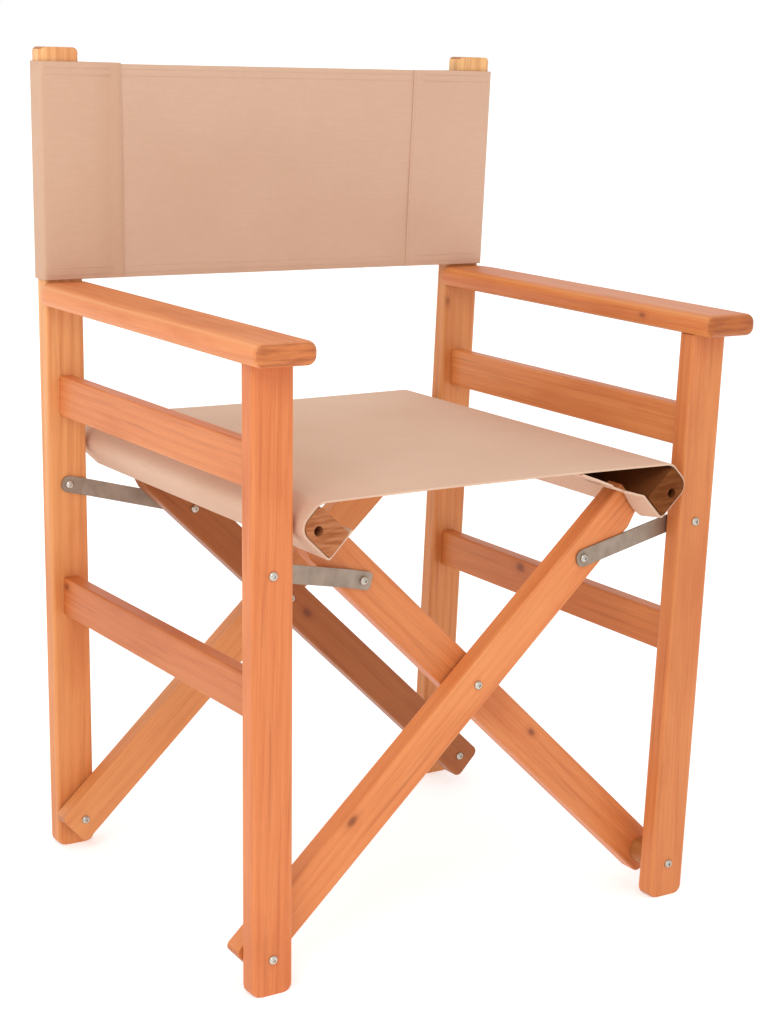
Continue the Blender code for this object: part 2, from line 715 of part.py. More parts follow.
OUTER_LAYERS = (LAYER_ONE, -LAYER_ONE_BACK)
INNER_LAYERS = (LAYER_TWO, -LAYER_TWO_BACK)
for frame_side in (LEFT, RIGHT):
    make_side_frame(frame_side, BODIES[frame_side])
for key, rising, layers, rail_name in (
    ("outer", RIGHT, OUTER_LAYERS, "right_seat_rail"),
    ("inner", LEFT, INNER_LAYERS, "left_seat_rail"),
):
    middles = [face + BAR_THICKNESS / 2 for face in layers]
    make_bar(f"front_{key}_bar", rising, layers[0], BODIES[key])
    make_bar(f"rear_{key}_bar", rising, layers[1], BODIES[key])
    make_seat_rail(rail_name, rising, middles, BODIES[key])
    for place_name, middle in zip(("front", "rear"), middles):
        add_piece(f"{place_name}_{key}_rail_screw", rail_screw(rising, middle), BODIES[key], STEEL)
make_foot_pivots(BODIES)
make_centre_pivots(BODIES["outer"])
make_links(BODIES, LINK_BODIES)
make_seat(BODIES["outer"])
make_back(BODIES[LEFT])
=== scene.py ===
"""Shows the folding director's chair as it looks in a white studio: materials, canvas, light and camera."""

import json
import math
import random

import bmesh
import bpy
from mathutils import Matrix, Vector

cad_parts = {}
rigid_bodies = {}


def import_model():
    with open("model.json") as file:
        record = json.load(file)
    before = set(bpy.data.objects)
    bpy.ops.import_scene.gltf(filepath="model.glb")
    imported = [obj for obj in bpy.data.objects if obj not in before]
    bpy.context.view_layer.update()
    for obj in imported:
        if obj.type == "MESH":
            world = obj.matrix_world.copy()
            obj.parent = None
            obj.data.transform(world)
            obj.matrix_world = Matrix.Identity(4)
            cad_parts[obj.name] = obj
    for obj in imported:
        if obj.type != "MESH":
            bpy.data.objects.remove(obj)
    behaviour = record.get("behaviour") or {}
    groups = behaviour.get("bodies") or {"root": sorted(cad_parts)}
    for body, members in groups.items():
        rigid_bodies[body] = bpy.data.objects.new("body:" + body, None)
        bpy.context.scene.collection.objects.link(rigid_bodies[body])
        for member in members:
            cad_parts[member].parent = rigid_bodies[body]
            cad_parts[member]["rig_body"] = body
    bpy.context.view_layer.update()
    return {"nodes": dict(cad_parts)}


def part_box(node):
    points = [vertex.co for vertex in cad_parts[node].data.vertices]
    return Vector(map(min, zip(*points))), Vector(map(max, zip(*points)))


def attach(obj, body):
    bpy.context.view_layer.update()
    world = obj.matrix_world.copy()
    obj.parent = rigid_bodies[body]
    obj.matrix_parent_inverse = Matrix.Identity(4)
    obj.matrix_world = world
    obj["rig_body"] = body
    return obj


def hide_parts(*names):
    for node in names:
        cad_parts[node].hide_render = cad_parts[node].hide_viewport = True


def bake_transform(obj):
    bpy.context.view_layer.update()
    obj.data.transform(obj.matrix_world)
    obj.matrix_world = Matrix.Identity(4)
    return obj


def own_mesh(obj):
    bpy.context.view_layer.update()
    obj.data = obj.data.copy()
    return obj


MM = 0.001
CHAIR_Y = 7 * MM  # the plane midway between the legs' and posts' outer faces
SPLAY = 0.020  # how far each side frame leans out for each unit of height
SPLAY_DATUM = 300 * MM  # the height at which the posts' places are given
POST_INNER = 227.5 * MM
POST_OUTER = 271 * MM
POST_REAR = 229.5 * MM

BAR_ANGLE = math.radians(43.22)
CENTRE_Z = 265.3 * MM
RAIL_REACH = 274.7 * MM
RAIL_DROP = 4.4 * MM
RAIL_LONG = 42.6 * MM
RAIL_SHORT = 29.5 * MM
RAIL_ROUND = 12 * MM

CANVAS_THREAD = 1.15 * MM  # from one pair of threads to the next
SEAT_THICKNESS = 2.1 * MM
SEAT_FRONT = -238 * MM
SEAT_REAR = 246 * MM
SEAT_BOW = 7 * MM  # how far the seat's front edge curves in at its middle
LOWER_LAYER_END = 98 * MM  # where the seat's lower layer is sewn to the upper one
NOTCH_INNER = (132.6 * MM, 461.5 * MM)  # the lower layer is cut away between these two, beside a bar
NOTCH_OUTER = (147.2 * MM, 454.5 * MM)
RAIL_CORNER = (172.5 * MM, 447.4 * MM)  # where the lower layer meets the rail's inner corner
SEAT_LEVEL = 470 * MM  # the upper layer lies above this between the rails
# Depths, to the front and the rear alike, at which the lower layer is cut away beside the bars.
RIGHT_CUT = 182 * MM
RIGHT_FLAP = 209 * MM  # past the right bar, the lower layer comes back as a flap
LEFT_CUT = 120 * MM
LEFT_BAR = (156 * MM, 185 * MM)
UNDER_RIGHT_RAIL = 199 * MM  # how far across the cuts reach under the rails
LEFT_RAIL_FACE = 171 * MM
FLAP_LENGTH = 29.5 * MM
FLAP_SLANT = 0.92  # how much of the way to the rail's corner the flap's edge is cut back
FLAP_LOOSE = 28 * MM  # the flap hangs slack from its end back to here
FLAP_SAG = 6 * MM
FLAP_PULL = 1.5 * MM

CLOTH = 1.6 * MM
FRONT_LAYER = 205.2 * MM  # middle of the sleeves' front layer
BACK_BOTTOM = 632 * MM
BACK_TOP = 854.5 * MM
LEFT_SEAM = 181 * MM  # at the splay's datum height
RIGHT_SEAM = 165 * MM
UNDERLAP_LEFT = 12 * MM
UNDERLAP_RIGHT = 34 * MM
LEFT_SLEEVE_RISE = 1.3 * MM  # the left sleeve's top edge sits that much above the front layer's
SHADED_BAND = (-226 * MM, -206 * MM)  # the left sleeve darkens between these, towards its seam
POST_GAP = 0.4 * MM  # between the cloth and the wood
LAYER_GAP = 0.2 * MM
HEM_ROWS = (5 * MM, 12 * MM)  # the rows of stitches, from the back's upper and lower edges
SEAM_INSET = 2.2 * MM

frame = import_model()
NODES = frame["nodes"]


# ---------------------------------------------------------------- node helpers


class Nodes:
    """Builds one material's node tree with short calls."""

    def __init__(self, name):
        self.material = bpy.data.materials.new(name)
        self.material.use_nodes = True
        self.tree = self.material.node_tree
        self.shader = self.tree.nodes["Principled BSDF"]

    def add(self, kind, settings=None, **inputs):
        node = self.tree.nodes.new(kind)
        for key, value in (settings or {}).items():
            setattr(node, key, value)
        for key, value in inputs.items():
            self.feed(node.inputs[key.replace("_", " ")], value)
        return node

    def feed(self, socket, value):
        if isinstance(value, bpy.types.NodeSocket):
            self.tree.links.new(value, socket)
        else:
            socket.default_value = value

    def maths(self, operation, first, second=0.0):
        node = self.add("ShaderNodeMath", {"operation": operation})
        self.feed(node.inputs[0], first)
        self.feed(node.inputs[1], second)
        return node.outputs[0]

    def mix(self, factor, first, second):
        node = self.add("ShaderNodeMix", {"data_type": "RGBA"})
        self.feed(node.inputs["Factor"], factor)
        self.feed(node.inputs["A"], first)
        self.feed(node.inputs["B"], second)
        return node.outputs["Result"]

    def ramp(self, factor, stops):
        node = self.add("ShaderNodeValToRGB", Fac=factor)
        elements = node.color_ramp.elements
        while len(elements) < len(stops):
            elements.new(0.5)
        for element, (position, colour) in zip(elements, stops):
            element.position = position
            element.color = (*colour, 1)
        return node.outputs["Color"]

    def grey_ramp(self, factor, low, high):
        """0 below low, 1 above high."""
        return self.ramp(factor, [(low, (0, 0, 0)), (high, (1, 1, 1))])

    def laid_over(self, colour, tint, pattern, low, high, strength):
        """The colour with some of the tint over it, where the pattern is high."""
        return self.mix(self.maths("MULTIPLY", self.grey_ramp(pattern, low, high), strength), colour, tint)


def rgb(red, green, blue):
    """A display colour from 0 to 255 as the linear colour a shader takes."""
    linear = []
    for value in (red, green, blue):
        share = value / 255
        linear.append(share / 12.92 if share <= 0.04045 else ((share + 0.055) / 1.055) ** 2.4)
    return (*linear, 1)


def tinted(colour, *shares):
    """A display colour with each channel scaled, as a linear colour."""
    return rgb(*(min(255, value * share) for value, share in zip(colour, shares)))


# ---------------------------------------------------------------- materials

OILED = (0.42, 0.34)  # wood's roughness, and the strength of its shine
BARE = (0.8, 0.08)
KNOT_BROWN = (104, 52, 26)


def wood_patterns(build, point):
    """The patterns of sawn softwood at a point whose Z runs along the grain, each from 0 to 1."""

    def noise(stretch, scale, detail):
        placed = build.add("ShaderNodeMapping", Vector=point, Scale=stretch).outputs[0]
        return build.add("ShaderNodeTexNoise", Vector=placed, Scale=scale, Detail=detail).outputs["Fac"]

    sway = noise((16, 16, 2.2), 1.0, 2.0)
    rings_at = build.add("ShaderNodeMapping", Vector=point, Scale=(1, 1, 0.05)).outputs[0]
    bent = build.add("ShaderNodeVectorMath", {"operation": "MULTIPLY_ADD"})
    build.feed(bent.inputs[0], build.add("ShaderNodeCombineXYZ", X=sway, Y=sway).outputs[0])
    bent.inputs[1].default_value = (0.03, 0.022, 0)
    build.feed(bent.inputs[2], rings_at)
    rings = build.add(
        "ShaderNodeTexWave",
        {"wave_type": "RINGS", "rings_direction": "Z", "wave_profile": "SIN"},
        Vector=bent.outputs[0],
        Scale=34.0,
        Distortion=3.0,
        Detail=3.0,
        Detail_Scale=1.2,
    ).outputs["Fac"]
    return {
        "sway": sway,
        "rings": rings,
        "fibres": noise((1, 1, 0.02), 700.0, 5.0),
        "lines": noise((1, 1, 0.03), 210.0, 4.0),
        "pores": noise((1, 1, 0.06), 1500.0, 2.0),
        "patches": noise((20, 20, 6), 1.0, 5.0),
        "growth": noise((12, 90, 1), 3.0, 4.0),
    }


def with_knot(build, colour, deep, place, turn, lines, knot):
    """The colour with one knot: a brown core in a darker halo, drawn out along the grain."""
    x, y, z, size = knot
    away = build.add("ShaderNodeVectorMath", {"operation": "SUBTRACT"})
    build.feed(away.inputs[0], place)
    away.inputs[1].default_value = (x, y, z)
    stretched = build.add(
        "ShaderNodeMapping",
        {"vector_type": "TEXTURE"},
        Vector=away.outputs[0],
        Rotation=turn,
        Scale=(1, 1, 1.6),
    ).outputs[0]
    length = build.add("ShaderNodeVectorMath", {"operation": "LENGTH"})
    build.feed(length.inputs[0], stretched)
    wobble = build.maths("MULTIPLY", build.maths("SUBTRACT", lines, 0.5), size * 1.2)
    distance = build.maths("ADD", length.outputs["Value"], wobble)
    halo = build.ramp(
        build.maths("DIVIDE", distance, size * 2.6),
        [(0.0, (1, 1, 1)), (0.36, (0.8, 0.8, 0.8)), (0.55, (0.3, 0.3, 0.3)), (1.0, (0, 0, 0))],
    )
    core = build.ramp(
        build.maths("DIVIDE", distance, size),
        [(0.0, (1, 1, 1)), (0.6, (0.75, 0.75, 0.75)), (1.0, (0, 0, 0))],
    )
    colour = build.mix(build.maths("MULTIPLY", halo, 0.55), colour, deep)
    return build.mix(build.maths("MULTIPLY", core, 0.7), colour, rgb(*KNOT_BROWN))


def wood(name, along, seed, base, knots=(), end=None, painted_light_heights=None, finish=OILED, rotation=0.0):
    """Softwood. along is the grain's axis; knots are (x, y, z, size) in metres.

    end is the end grain's colour, the argument after it the two heights between which painted light turns the
    wood paler towards the top, and finish the roughness and the strength of its shine.
    """
    rough, shine = finish
    build = Nodes(name)
    coords = build.add("ShaderNodeTexCoord")
    place = coords.outputs["Object"]
    turn = {"X": (0, math.radians(90), 0), "Y": (math.radians(90), 0, 0), "Z": (0, 0, 0)}[along]
    if rotation:
        turn = (0, rotation, 0)
    turned = {"vector_type": "TEXTURE"}
    mapped = build.add("ShaderNodeMapping", turned, Vector=place, Rotation=turn)
    facing = build.add("ShaderNodeMapping", turned, Vector=coords.outputs["Normal"], Rotation=turn)
    sides = build.add("ShaderNodeSeparateXYZ", Vector=facing.outputs[0]).outputs
    across, deep_way, lengthwise = (build.maths("ABSOLUTE", part) for part in sides)
    end_grain = build.grey_ramp(lengthwise, 0.3, 0.7)
    # painted highlight: where the normal leans off every face, on the eased edges, the wood is lightened
    squarest = build.maths("MAXIMUM", build.maths("MAXIMUM", across, deep_way), lengthwise)
    edge = build.ramp(squarest, [(0.72, (1, 1, 1)), (0.97, (0, 0, 0))])

    shifted = build.add("ShaderNodeVectorMath", {"operation": "ADD"})
    build.feed(shifted.inputs[0], mapped.outputs[0])
    generator = random.Random(seed)
    shifted.inputs[1].default_value = [generator.uniform(-3, 3) for _ in range(3)]
    grain = wood_patterns(build, shifted.outputs[0])

    light = tinted(base, 1.06, 1.2, 1.32)
    middle = rgb(*base)
    dark = tinted(base, 0.92, 0.85, 0.8)
    darker = tinted(base, 0.88, 0.78, 0.68)
    deep = tinted(base, 0.72, 0.58, 0.48)
    # painted light: between these heights the wood turns paler towards the top, as if lit more from above
    if painted_light_heights:
        height = build.add("ShaderNodeSeparateXYZ", Vector=place).outputs["Z"]
        share = build.add("ShaderNodeMapRange", Value=height, From_Min=painted_light_heights[0], From_Max=painted_light_heights[1]).outputs[0]
        middle = build.mix(share, middle, tinted(base, 1.15, 1.44, 1.75))
    colour = build.laid_over(middle, dark, grain["rings"], 0.35, 0.95, 0.4)
    colour = build.laid_over(colour, light, grain["fibres"], 0.42, 0.66, 0.35)
    colour = build.laid_over(colour, deep, grain["lines"], 0.56, 0.76, 0.42)
    colour = build.laid_over(colour, deep, grain["pores"], 0.58, 0.74, 0.2)
    colour = build.laid_over(colour, darker, grain["patches"], 0.5, 0.78, 0.7)
    colour = build.laid_over(colour, light, grain["sway"], 0.5, 0.75, 0.5)
    for knot in knots:
        colour = with_knot(build, colour, deep, place, turn, grain["lines"], knot)
    # lay the painted highlight over the eased edges
    colour = build.mix(build.maths("MULTIPLY", edge, 0.75), colour, light)
    end = end or [value * share for value, share in zip(base, (0.86, 0.78, 0.62))]
    growth = build.mix(build.grey_ramp(grain["growth"], 0.4, 0.65), rgb(*end), tinted(end, 0.8, 0.7, 0.6))
    colour = build.mix(build.maths("MULTIPLY", end_grain, 0.85), colour, growth)
    build.feed(build.shader.inputs["Base Color"], colour)
    spread = build.add("ShaderNodeMapRange", Value=grain["patches"], To_Min=rough - 0.05, To_Max=rough + 0.08)
    build.feed(build.shader.inputs["Roughness"], spread.outputs[0])
    build.shader.inputs["Specular IOR Level"].default_value = shine
    height = build.maths("SUBTRACT", grain["fibres"], build.maths("MULTIPLY", grain["pores"], 0.8))
    bump = build.add("ShaderNodeBump", Height=height, Strength=0.15, Distance=0.0004)
    build.feed(build.shader.inputs["Normal"], bump.outputs[0])
    return build.material


def canvas(name, warp, weft, colour, band=None):
    """Plain-woven cotton canvas. warp and weft are the axes its threads run along.

    band is two places across the chair, between which painted shade makes the cloth a little darker.
    """
    build = Nodes(name)
    place = build.add("ShaderNodeTexCoord").outputs["Object"]
    parts = build.add("ShaderNodeSeparateXYZ", Vector=place).outputs
    drift = build.add("ShaderNodeTexNoise", Vector=place, Scale=18.0, Detail=1.0).outputs["Fac"]
    threads = []
    slubs = []
    for axis, other in ((warp, weft), (weft, warp)):
        counted = build.maths("ADD", parts[other], build.maths("MULTIPLY", drift, 0.004))
        wave = build.maths("SINE", build.maths("MULTIPLY", counted, math.tau / CANVAS_THREAD))
        threads.append(build.maths("ADD", build.maths("MULTIPLY", wave, 0.5), 0.5))
        stretch = [1.0, 1.0, 1.0]
        stretch["XYZ".index(axis)] = 0.12
        run = build.add("ShaderNodeMapping", Vector=place, Scale=stretch).outputs[0]
        slubs.append(build.add("ShaderNodeTexNoise", Vector=run, Scale=420.0, Detail=3.0).outputs["Fac"])
    weave = build.maths("MULTIPLY", *threads)
    clouds = build.add("ShaderNodeTexNoise", Vector=place, Scale=7.0, Detail=3.0).outputs["Fac"]
    light = tinted(colour, 1.03, 1.045, 1.06)
    dark = tinted(colour, 0.94, 0.91, 0.89)
    shade = build.mix(build.maths("ADD", build.maths("MULTIPLY", weave, 0.4), 0.55), dark, rgb(*colour))
    shade = build.laid_over(shade, light, slubs[0], 0.45, 0.75, 0.3)
    shade = build.laid_over(shade, dark, slubs[1], 0.5, 0.75, 0.2)
    shade = build.laid_over(shade, dark, clouds, 0.42, 0.7, 0.45)
    # painted shade: the cloth darkens between the band's two places
    if band:
        near = build.add("ShaderNodeMapRange", Value=parts["X"], From_Min=band[0], From_Max=band[1])
        shade = build.mix(build.maths("MULTIPLY", near.outputs[0], 0.6), shade, dark)
    build.feed(build.shader.inputs["Base Color"], shade)
    build.shader.inputs["Roughness"].default_value = 0.92
    build.shader.inputs["Specular IOR Level"].default_value = 0.12
    build.shader.inputs["Sheen Weight"].default_value = 0.06
    build.shader.inputs["Sheen Roughness"].default_value = 0.6
    height = build.maths("ADD", weave, build.maths("MULTIPLY", build.maths("ADD", *slubs), 0.5))
    bump = build.add("ShaderNodeBump", Height=height, Strength=0.22, Distance=0.0004)
    build.feed(build.shader.inputs["Normal"], bump.outputs[0])
    return build.material


def plain_thread(name, colour):
    build = Nodes(name)
    place = build.add("ShaderNodeTexCoord").outputs["Object"]
    noise = build.add("ShaderNodeTexNoise", Vector=place, Scale=900.0, Detail=2.0).outputs["Fac"]
    shade = build.mix(noise, tinted(colour, 0.9, 0.88, 0.86), rgb(*colour))
    build.feed(build.shader.inputs["Base Color"], shade)
    build.shader.inputs["Roughness"].default_value = 0.8
    return build.material


def metal(name, colour, rough, seed, dull=0.5):
    """Zinc-plated steel, with a little uneven dulling."""
    build = Nodes(name)
    place = build.add("ShaderNodeTexCoord").outputs["Object"]
    offset = build.add("ShaderNodeMapping", Vector=place, Location=(seed, seed * 2, 0)).outputs[0]
    clouds = build.add("ShaderNodeTexNoise", Vector=offset, Scale=70.0, Detail=5.0).outputs["Fac"]
    specks = build.add("ShaderNodeTexNoise", Vector=offset, Scale=900.0, Detail=2.0).outputs["Fac"]
    dark = tinted(colour, 0.72, 0.7, 0.67)
    shade = build.laid_over(rgb(*colour), dark, clouds, 0.38, 0.68, dull)
    shade = build.laid_over(shade, dark, specks, 0.6, 0.75, 0.3)
    build.feed(build.shader.inputs["Base Color"], shade)
    build.shader.inputs["Metallic"].default_value = 0.9
    spread = build.add("ShaderNodeMapRange", Value=clouds, To_Min=rough - 0.08, To_Max=rough + 0.12)
    build.feed(build.shader.inputs["Roughness"], spread.outputs[0])
    bump = build.add("ShaderNodeBump", Height=specks, Strength=0.12, Distance=0.0002)
    build.feed(build.shader.inputs["Normal"], bump.outputs[0])
    return build.material


def paint(piece, material):
    piece.data.materials.clear()
    piece.data.materials.append(material)


# ---------------------------------------------------------------- shapes


def bar_point(side, along, out):
    """(x, z) of a point along a bar that rises towards a side, and out from its middle line."""
    x = along * math.cos(BAR_ANGLE) + out * math.sin(BAR_ANGLE)
    z = along * math.sin(BAR_ANGLE) - out * math.cos(BAR_ANGLE)
    return Vector((side * x, CENTRE_Z + z))


def arc_corner(points, radius, segments):
    """Rounds the corner of a polyline of three points, and returns the corner's new points."""
    before, here, after = points
    one = (before - here).normalized()
    two = (after - here).normalized()
    half = one.angle(two) / 2
    reach = radius / math.tan(half)
    centre = here + (one + two).normalized() * radius / math.sin(half)
    start = here + one * reach - centre
    sweep = (math.pi - 2 * half) * (1 if one.cross(two) < 0 else -1)
    return [centre + Matrix.Rotation(sweep * i / segments, 2) @ start for i in range(segments + 1)]


def rounded(path, radii, segments=6):
    """A polyline with its inner corners rounded."""
    points = [path[0]]
    for i in range(1, len(path) - 1):
        if radii[i]:
            points += arc_corner(path[i - 1 : i + 2], radii[i], segments)
        else:
            points.append(path[i])
    return points + [path[-1]]


def resampled(points, step):
    """The same polyline with no segment longer than step."""
    made = [points[0]]
    for first, second in zip(points, points[1:]):
        count = max(1, math.ceil((second - first).length / step))
        made += [first.lerp(second, (i + 1) / count) for i in range(count)]
    return made


def object_of(name, mesh, material, smooth=True):
    mesh.normal_update()
    bmesh.ops.recalc_face_normals(mesh, faces=mesh.faces)
    data = bpy.data.meshes.new(name)
    mesh.to_mesh(data)
    mesh.free()
    data.materials.append(material)
    made = bpy.data.objects.new(name, data)
    bpy.context.scene.collection.objects.link(made)
    if smooth:
        data.shade_smooth()
        data.set_sharp_from_angle(angle=math.radians(45))
    return made


STITCH_PITCH = 3.4 * MM
STITCH_SHARE = 0.62  # of the pitch that the thread shows for
STITCH_RADIUS = 0.26 * MM
STITCH_LIFT = 0.05 * MM
STITCH_SHAPE = (  # share of its length, thickness and height in radii
    (0, 0.35, -0.3),
    (0.25, 1, 0.5),
    (0.5, 1.1, 0.8),
    (0.75, 1, 0.5),
    (1, 0.35, -0.3),
)


def stitches(name, line, material):
    """A row of thread stitches along a polyline on cloth that faces the front, each a small sunk bead."""
    radius = STITCH_RADIUS
    normal = Vector((0, -1, 0))
    mesh = bmesh.new()
    total = sum((b - a).length for a, b in zip(line, line[1:]))
    count = max(1, int(total / STITCH_PITCH))
    for i in range(count):
        ends = []
        for share in (0.5 - STITCH_SHARE / 2, 0.5 + STITCH_SHARE / 2):
            ends.append(point_on(line, (i + share) * STITCH_PITCH))
        a, b = ends
        along = (b - a).normalized()
        across = along.cross(normal).normalized()
        rings = []
        for t, size, rise in STITCH_SHAPE:
            middle = a.lerp(b, t) + normal * (STITCH_LIFT + radius * rise)
            rings.append(
                [
                    mesh.verts.new(
                        middle
                        + across * radius * size * math.cos(k * math.tau / 6)
                        + normal * radius * size * math.sin(k * math.tau / 6)
                    )
                    for k in range(6)
                ]
            )
        for first, second in zip(rings, rings[1:]):
            for k in range(6):
                n = (k + 1) % 6
                mesh.faces.new((first[k], first[n], second[n], second[k]))
        mesh.faces.new(rings[0])
        mesh.faces.new(rings[-1])
    return object_of(name, mesh, material)


def point_on(line, distance):
    """The point that far along a polyline."""
    for a, b in zip(line, line[1:]):
        length = (b - a).length
        if distance <= length:
            return a.lerp(b, distance / length)
        distance -= length
    return line[-1]


def nothing_missing(row, column):
    return False


def cloth(name, rows, material, thickness, missing=nothing_missing):
    """Cloth over a grid of points, with some of its cells left out, made solid."""
    mesh = bmesh.new()
    grid = [[mesh.verts.new(point) for point in row] for row in rows]
    for r in range(len(rows) - 1):
        for c in range(len(rows[0]) - 1):
            if not missing(r, c):
                mesh.faces.new((grid[r][c], grid[r][c + 1], grid[r + 1][c + 1], grid[r + 1][c]))
    bmesh.ops.delete(mesh, geom=[v for v in mesh.verts if not v.link_faces], context="VERTS")
    flat = object_of(name + "_flat", mesh, material)
    solidify = flat.modifiers.new("thickness", "SOLIDIFY")
    solidify.thickness = thickness
    solidify.offset = 0
    solidify.use_even_offset = True
    rounding = flat.modifiers.new("soft_edges", "BEVEL")
    rounding.width = thickness * 0.3
    rounding.segments = 2
    rounding.limit_method = "ANGLE"
    rounding.angle_limit = math.radians(60)
    graph = bpy.context.evaluated_depsgraph_get()
    data = bpy.data.meshes.new_from_object(flat.evaluated_get(graph))
    data.name = name
    bpy.data.objects.remove(flat)
    data.shade_smooth()
    data.set_sharp_from_angle(angle=math.radians(50))
    made = bpy.data.objects.new(name, data)
    bpy.context.scene.collection.objects.link(made)
    return made


# ---------------------------------------------------------------- wood

RISING_TURN = {"right": math.pi / 2 - BAR_ANGLE, "left": BAR_ANGLE - math.pi / 2}
# painted light on the rear posts: paler towards their tops, between these heights
PAINTED_TOP_LIGHT_BETWEEN = {"left_rear_post": (280 * MM, 860 * MM), "right_rear_post": (640 * MM, 860 * MM)}
WOODEN = {
    # node: grain axis or rising side, base colour, knots as (x, y, z, size) in millimetres
    "left_front_leg": ("Z", (212, 120, 66), ()),
    "right_front_leg": ("Z", (204, 119, 64), ()),
    "left_rear_post": ("Z", (214, 132, 74), ()),
    "right_rear_post": ("Z", (204, 129, 72), ((235, 213, 588, 4),)),
    "left_armrest": ("Y", (218, 129, 74), ()),
    "right_armrest": ("Y", (206, 119, 62), ((228, -150, 618, 3.5),)),
    "left_upper_rail": ("Y", (210, 122, 68), ()),
    "right_upper_rail": ("Y", (212, 130, 72), ()),
    "left_lower_rail": ("Y", (196, 108, 54), ((-259, 207, 300, 4),)),
    "right_lower_rail": ("Y", (194, 112, 56), ((241, 56, 300, 5),)),
    "front_outer_bar": ("right", (217, 129, 72), ((-144, -199, 148.5, 4.5),)),
    "rear_outer_bar": ("right", (210, 130, 74), ()),
    "front_inner_bar": ("left", (206, 120, 66), ((88, -175, 194.6, 3.5),)),
    "rear_inner_bar": ("left", (158, 88, 40), ((22, 167, 246, 4.5),)),
    "left_seat_rail": ("Y", (164, 100, 60), ()),
    # the right seat rail is much darker than the left: painted shade, for the shadow inside the seat's pocket
    "right_seat_rail": ("Y", (104, 54, 24), ()),
    "right_front_foot_spacer": ("Y", (170, 104, 54), ()),
    "right_rear_foot_spacer": ("Y", (170, 104, 54), ()),
}
END_GRAIN = {
    "left_seat_rail": (180, 116, 78),
    # the right seat rail's end grain is darkened too, as painted shade for the shadow inside the seat's
    # pocket
    "right_seat_rail": (124, 72, 35),
    "left_armrest": (200, 116, 60),
    "right_armrest": (172, 91, 34),
}


def dress_wood():
    for seed, (node, (grain, base, knots)) in enumerate(WOODEN.items(), 11):
        spots = [(x * MM, y * MM, z * MM, size * MM) for x, y, z, size in knots]
        turn = RISING_TURN.get(grain, 0.0)
        axis = grain if grain in "XYZ" else "Z"
        end, painted_light_heights = END_GRAIN.get(node), PAINTED_TOP_LIGHT_BETWEEN.get(node)
        finish = BARE if node.endswith("seat_rail") else OILED
        paint(NODES[node], wood("wood_" + node, axis, seed, base, spots, end, painted_light_heights, finish, turn))
        NODES[node].data.shade_smooth()
        NODES[node].data.set_sharp_from_angle(angle=math.radians(38))
        flat_faces = NODES[node].modifiers.new("flat_faces", "WEIGHTED_NORMAL")
        flat_faces.keep_sharp = True


# ---------------------------------------------------------------- metal


def button_bolt(node, material):
    """A round-headed bolt with a hexagon socket, in place of the plain one."""
    low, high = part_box(node)
    middle = (low + high) / 2
    shank = 3 * MM
    head = (high.x - low.x) / 2
    height = 3 * MM
    socket = 1.7 * MM
    face = low.y + height
    steps = [
        (0, high.y - face, 0),
        (shank, high.y - face, 0),
        (shank, 0, 0),
        (head * 0.97, 0, 0),
        (head, -0.4 * MM, 0),
        (head * 0.93, -1.3 * MM, 0),
        (head * 0.76, -2.2 * MM, 0),
        (head * 0.55, -2.8 * MM, 0),
        (socket * 1.12, -3.0 * MM, 1),
        (socket, -2.8 * MM, 1),
        (socket, -1.5 * MM, 1),
        (0, -1.2 * MM, 0),
    ]
    segments = 24
    mesh = bmesh.new()
    rings = []
    for radius, depth, hexagonal in steps:
        y = face + depth
        if radius == 0:
            rings.append([mesh.verts.new((middle.x, y, middle.z))])
            continue
        ring = []
        for i in range(segments):
            turn = math.tau * i / segments
            reach = radius
            if hexagonal:
                reach = radius * math.cos(math.pi / 6) / math.cos((turn % (math.pi / 3)) - math.pi / 6)
            x, z = middle.x + reach * math.cos(turn), middle.z + reach * math.sin(turn)
            ring.append(mesh.verts.new((x, y, z)))
        rings.append(ring)
    for first, second in zip(rings, rings[1:]):
        for i in range(segments):
            j = (i + 1) % segments
            corners = [
                first[i % len(first)],
                first[j % len(first)],
                second[j % len(second)],
                second[i % len(second)],
            ]
            mesh.faces.new(list(dict.fromkeys(corners)))
    made = object_of(node + "_socket_head", mesh, material)
    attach(made, NODES[node]["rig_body"])
    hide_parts(node)


def dress_metal():
    bright = metal("bright_zinc", (206, 200, 190), 0.3, 1.3)
    strip = metal("dull_zinc", (163, 146, 131), 0.5, 4.1, dull=0.35)
    for name in list(NODES):
        if name.endswith("_bolt"):
            button_bolt(name, bright)
        elif name.endswith(("_nut", "_washer", "_screw")):
            paint(NODES[name], bright)
        elif name.endswith("_link"):
            paint(NODES[name], strip)


# ---------------------------------------------------------------- seat canvas


def seat_half(top_round):
    """Half the seat's section as (x, z) points, from its seam under the seat, round the rail, to the middle.

    Also gives the index of the lowest point, where the canvas leaves the rail's inner face.
    """
    grow = 0.4 * MM + SEAT_THICKNESS / 2
    long, short = RAIL_LONG / 2 + grow, RAIL_SHORT / 2 + grow
    inner, bottom, outer, top = (
        bar_point(1, RAIL_REACH + along * long, RAIL_DROP + out * short)
        for along, out in ((-1, -1), (-1, 1), (1, 1), (1, -1))
    )
    seam = Vector((LOWER_LAYER_END, top.y - SEAT_THICKNESS - 0.3 * MM))
    path = [seam, Vector(NOTCH_INNER), Vector(NOTCH_OUTER), inner + Vector((-2 * MM, 1 * MM)), bottom]
    path += [outer, top, Vector((0, top.y))]
    points = rounded(path, (0, 0, 0, 4 * MM, 2.5 * MM, RAIL_ROUND + grow, top_round, 0), 6)
    points = resampled(points, 9 * MM)
    return points, points.index(min(points, key=lambda point: point.y))


